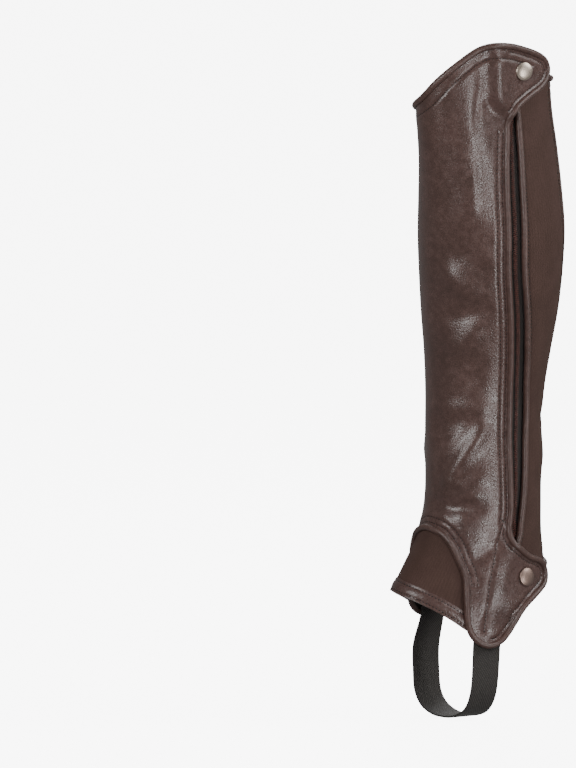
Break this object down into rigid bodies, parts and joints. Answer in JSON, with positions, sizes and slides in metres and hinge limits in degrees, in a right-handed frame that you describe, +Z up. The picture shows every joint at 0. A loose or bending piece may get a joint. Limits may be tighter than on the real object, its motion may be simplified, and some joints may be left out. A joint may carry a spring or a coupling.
{
  "type": "half chap",
  "caption": "Leather riding half chap for a left leg: a fitted tube zipped up its outer side, with snap tabs, a stretch panel, a grip patch and an elastic strap under the foot.",
  "frame": {"origin": "on the axis of the leg's tube at the widest level of the calf, where the leg holds it", "axes": "+Z up along the leg, -Y to the front of the leg and the toe, +X to the outer side of a left leg"},
  "size_m": [0.1129, 0.1622, 0.5456],
  "materials": {
    "leather": "brown full-grain leather, satin",
    "trim_leather": "rolled and folded brown leather edges, satin",
    "stretch": "brown elastic stretch fabric, matt",
    "webbing": "black woven tape and elastic, matt",
    "snap_metal": "dull antique plated metal, satin"
  },
  "bodies": {
    "root": {"front_panel": "leather", "inner_panel": "leather", "grip_patch": "leather", "instep_band": "leather", "front_edge_roll": "trim_leather", "top_edge_roll": "trim_leather", "hem_edge_roll": "trim_leather", "rear_edge_roll": "trim_leather", "stretch_top_binding": "trim_leather", "stretch_hem_binding": "trim_leather", "top_facing_front": "trim_leather", "top_facing_inner": "trim_leather", "stretch_panel": "stretch", "instep_gusset": "stretch", "zip_tape_front": "webbing", "zip_tape_rear": "webbing", "zip_facing_front": "webbing", "zip_facing_rear": "webbing", "foot_strap": "webbing", "zip_slider": "snap_metal", "zip_pull": "snap_metal", "top_snap_cap": "snap_metal", "top_snap_stud": "snap_metal", "top_snap_ring": "snap_metal", "foot_snap_cap": "snap_metal", "foot_snap_stud": "snap_metal", "foot_snap_ring": "snap_metal"}
  },
  "joints": []
}
